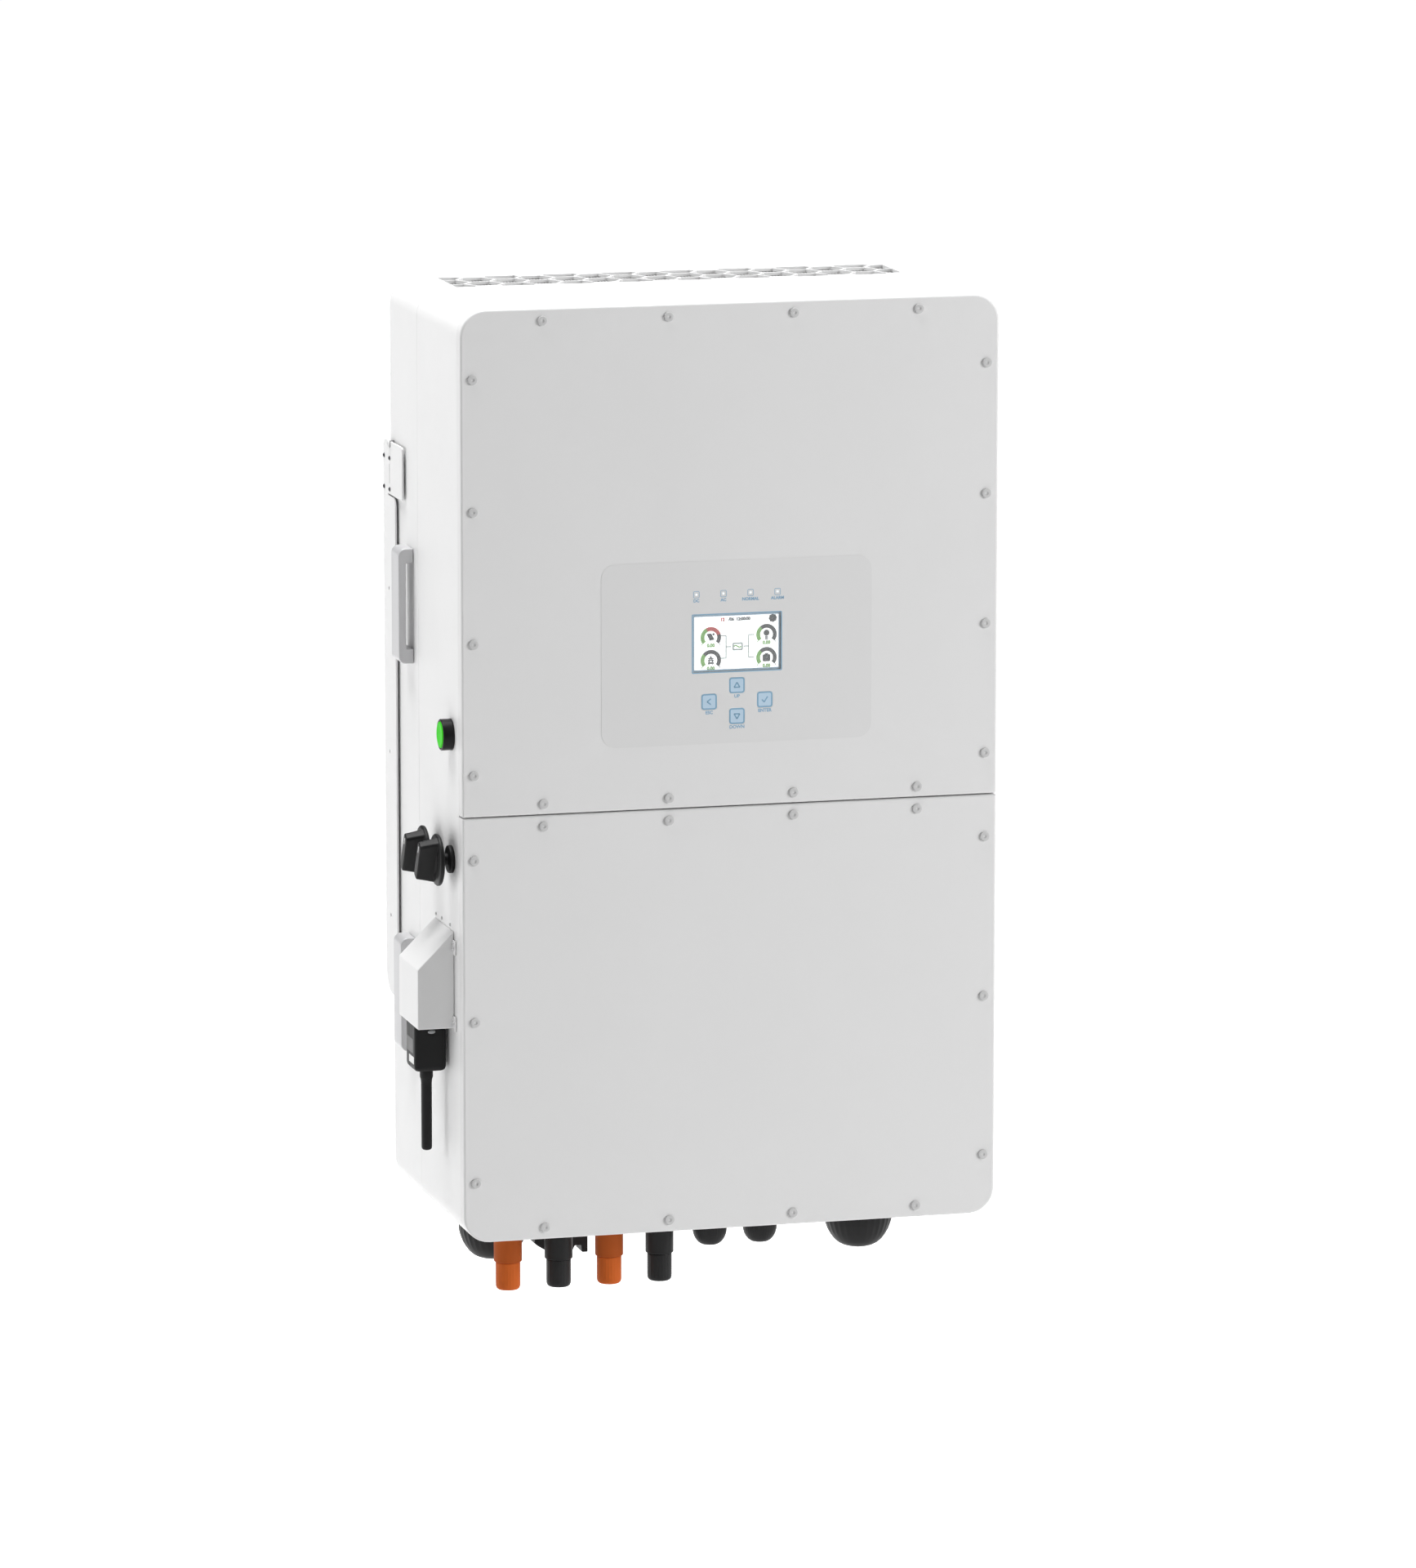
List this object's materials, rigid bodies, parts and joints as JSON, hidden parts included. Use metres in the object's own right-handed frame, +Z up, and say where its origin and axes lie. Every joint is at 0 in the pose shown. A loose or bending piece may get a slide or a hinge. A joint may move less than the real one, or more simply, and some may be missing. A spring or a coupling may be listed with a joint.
{
  "type": "string inverter",
  "caption": "Wall-hung inverter case with screwed front covers, operator panel, side switches, plug-in logger, bottom connectors and a rear cooling duct.",
  "frame": {"origin": "centre of the wall bracket's back face, at half the height of the case", "axes": "+X to the viewer's right, -Y out of the front covers, +Y into the wall, +Z up"},
  "size_m": [0.5782, 0.3059, 0.9585],
  "materials": {
    "white_paint": "satin powder coat",
    "cover_paint": "satin powder coat, light grey",
    "panel_film": "matt overlay film",
    "key_plastic": "matt membrane key",
    "gasket_rubber": "soft seal",
    "frame_steel": "zinc plated",
    "aluminium": "extruded",
    "handle_metal": "satin",
    "bolt_steel": "black oxide",
    "black_plastic": "fine matt",
    "black_gloss": "semi gloss",
    "orange_plastic": "matt",
    "button_green": "translucent lit cap",
    "window_glass": "clear",
    "clear_plastic": "clear light guide",
    "board_green": "solder mask",
    "capacitor_sleeve": "sleeve",
    "inductor_metal": "potted case",
    "terminal_black": "moulded",
    "terminal_red": "moulded"
  },
  "bodies": {
    "enclosure": {"front_housing": "white_paint", "rear_shroud": "white_paint", "top_grille": "white_paint", "wall_bracket": "white_paint", "logger_hood": "white_paint", "upper_cover": "cover_paint", "lower_cover": "cover_paint", "upper_gasket": "gasket_rubber", "lower_gasket": "gasket_rubber", "upper_screw_frame": "frame_steel", "lower_screw_frame": "frame_steel", "fan_tray": "frame_steel", "hanger_rail": "frame_steel", "heat_sink": "aluminium", "operator_panel": "panel_film", "display_window": "window_glass", "display_module": "black_gloss", "light_guide": "clear_plastic", "control_board": "board_green", "power_board": "board_green", "power_button_bezel": "black_plastic", "dc_switch_front_body": "black_plastic", "dc_switch_rear_body": "black_plastic", "logger_socket": "black_plastic", "data_logger": "black_plastic", "logger_antenna": "black_plastic", "handle_left_upper": "handle_metal", "handle_left_lower": "handle_metal", "handle_right_upper": "handle_metal", "handle_right_lower": "handle_metal", "ear_bolt_left": "bolt_steel", "ear_bolt_right": "bolt_steel", "battery_plus_1": "orange_plastic", "battery_plus_2": "orange_plastic", "battery_minus_1": "black_plastic", "battery_minus_2": "black_plastic", "signal_gland_1": "black_plastic", "signal_gland_2": "black_plastic", "cable_gland_left": "black_plastic", "cable_gland_right": "black_plastic", "pv_connector_block": "black_plastic", "port_cover": "black_plastic", "capacitor_bank": "capacitor_sleeve", "inductor_bank": "inductor_metal", "ac_terminal_block": "terminal_black", "dc_terminal_block": "terminal_red", "fan_frame_1": "black_plastic", "fan_frame_2": "black_plastic", "fan_frame_3": "black_plastic"},
    "switch_front": {"dc_switch_front_knob": "black_plastic"},
    "switch_rear": {"dc_switch_rear_knob": "black_plastic"},
    "button": {"power_button_cap": "button_green"},
    "esc_key": {"key_esc": "key_plastic"},
    "up_key": {"key_up": "key_plastic"},
    "down_key": {"key_down": "key_plastic"},
    "enter_key": {"key_enter": "key_plastic"},
    "fan_1": {"fan_impeller_1": "black_plastic"},
    "fan_2": {"fan_impeller_2": "black_plastic"},
    "fan_3": {"fan_impeller_3": "black_plastic"}
  },
  "joints": [
    {"name": "switch_front_turn", "type": "hinge", "parent": "enclosure", "child": "switch_front", "pos_m": [-0.2635, -0.262, -0.0815], "axis": [-1, 0, 0], "range_deg": [0, 90]},
    {"name": "switch_rear_turn", "type": "hinge", "parent": "enclosure", "child": "switch_rear", "pos_m": [-0.2635, -0.204, -0.0835], "axis": [-1, 0, 0], "range_deg": [0, 90]},
    {"name": "button_press", "type": "slide", "parent": "enclosure", "child": "button", "axis": [1, 0, 0], "range_m": [0, 0.003], "stiffness_N_per_m": 900},
    {"name": "esc_key_press", "type": "slide", "parent": "enclosure", "child": "esc_key", "axis": [0, 1, 0], "range_m": [0, 0.0006], "stiffness_N_per_m": 1500},
    {"name": "up_key_press", "type": "slide", "parent": "enclosure", "child": "up_key", "axis": [0, 1, 0], "range_m": [0, 0.0006], "stiffness_N_per_m": 1500},
    {"name": "down_key_press", "type": "slide", "parent": "enclosure", "child": "down_key", "axis": [0, 1, 0], "range_m": [0, 0.0006], "stiffness_N_per_m": 1500},
    {"name": "enter_key_press", "type": "slide", "parent": "enclosure", "child": "enter_key", "axis": [0, 1, 0], "range_m": [0, 0.0006], "stiffness_N_per_m": 1500},
    {"name": "fan_1_spin", "type": "hinge", "parent": "enclosure", "child": "fan_1", "pos_m": [-0.13, -0.07, -0.43], "axis": [0, 0, 1], "continuous": true},
    {"name": "fan_2_spin", "type": "hinge", "parent": "enclosure", "child": "fan_2", "pos_m": [0, -0.07, -0.43], "axis": [0, 0, 1], "continuous": true},
    {"name": "fan_3_spin", "type": "hinge", "parent": "enclosure", "child": "fan_3", "pos_m": [0.13, -0.07, -0.43], "axis": [0, 0, 1], "continuous": true}
  ]
}
